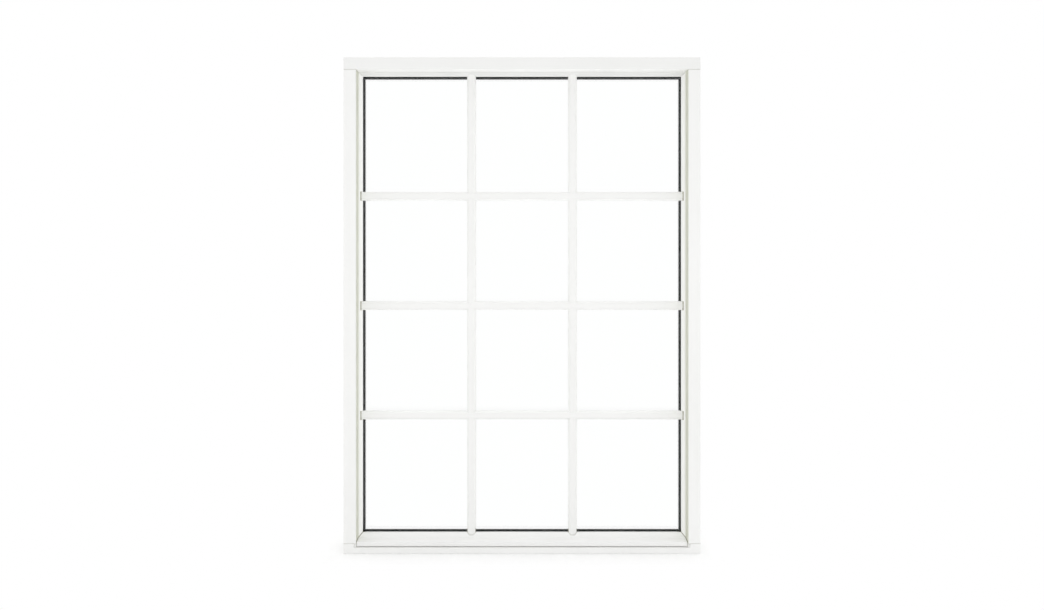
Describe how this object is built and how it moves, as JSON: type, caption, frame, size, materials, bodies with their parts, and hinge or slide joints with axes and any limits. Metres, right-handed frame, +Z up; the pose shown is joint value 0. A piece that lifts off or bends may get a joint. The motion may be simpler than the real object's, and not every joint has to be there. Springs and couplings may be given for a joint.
{
  "type": "fixed picture window",
  "caption": "Tall fixed timber window: a square-edged white frame with splayed glazing beads, one double-glazed unit and glazing bars on both faces of the glass.",
  "frame": {"origin": "the middle of the sill's underside, where the window stands", "axes": "+X to the right as seen from outside, +Y from the outside face towards the room, +Z up"},
  "size_m": [1, 0.117, 1.392],
  "materials": {
    "painted_frame": "satin",
    "painted_bead": "satin",
    "painted_bar": "satin",
    "glass": "polished",
    "glazing_rubber": "matte",
    "spacer": "matte",
    "sealant": "matte",
    "setting_block": "matte"
  },
  "bodies": {
    "root": {"bar_bottom": "painted_bar", "bar_middle": "painted_bar", "bar_top": "painted_bar", "bead_end_left": "painted_bead", "bead_end_right": "painted_bead", "bead_head": "painted_bead", "bead_left": "painted_bead", "bead_right": "painted_bead", "bead_sill": "painted_bead", "cavity_bars_across": "spacer", "cavity_bars_upright": "spacer", "edge_seal_head": "sealant", "edge_seal_left": "sealant", "edge_seal_right": "sealant", "edge_seal_sill": "sealant", "glass_inner": "glass", "glass_outer": "glass", "head": "painted_frame", "inner_gasket_head": "glazing_rubber", "inner_gasket_left": "glazing_rubber", "inner_gasket_right": "glazing_rubber", "inner_gasket_sill": "glazing_rubber", "jamb_left": "painted_frame", "jamb_right": "painted_frame", "outer_gasket_head": "glazing_rubber", "outer_gasket_left": "glazing_rubber", "outer_gasket_right": "glazing_rubber", "outer_gasket_sill": "glazing_rubber", "room_bar_bottom": "painted_bar", "room_bar_middle": "painted_bar", "room_bar_top": "painted_bar", "room_upright_left": "painted_bar", "room_upright_right": "painted_bar", "setting_blocks": "setting_block", "sill": "painted_frame", "spacer_head": "spacer", "spacer_left": "spacer", "spacer_right": "spacer", "spacer_sill": "spacer", "upright_left": "painted_bar", "upright_right": "painted_bar"}
  },
  "joints": []
}
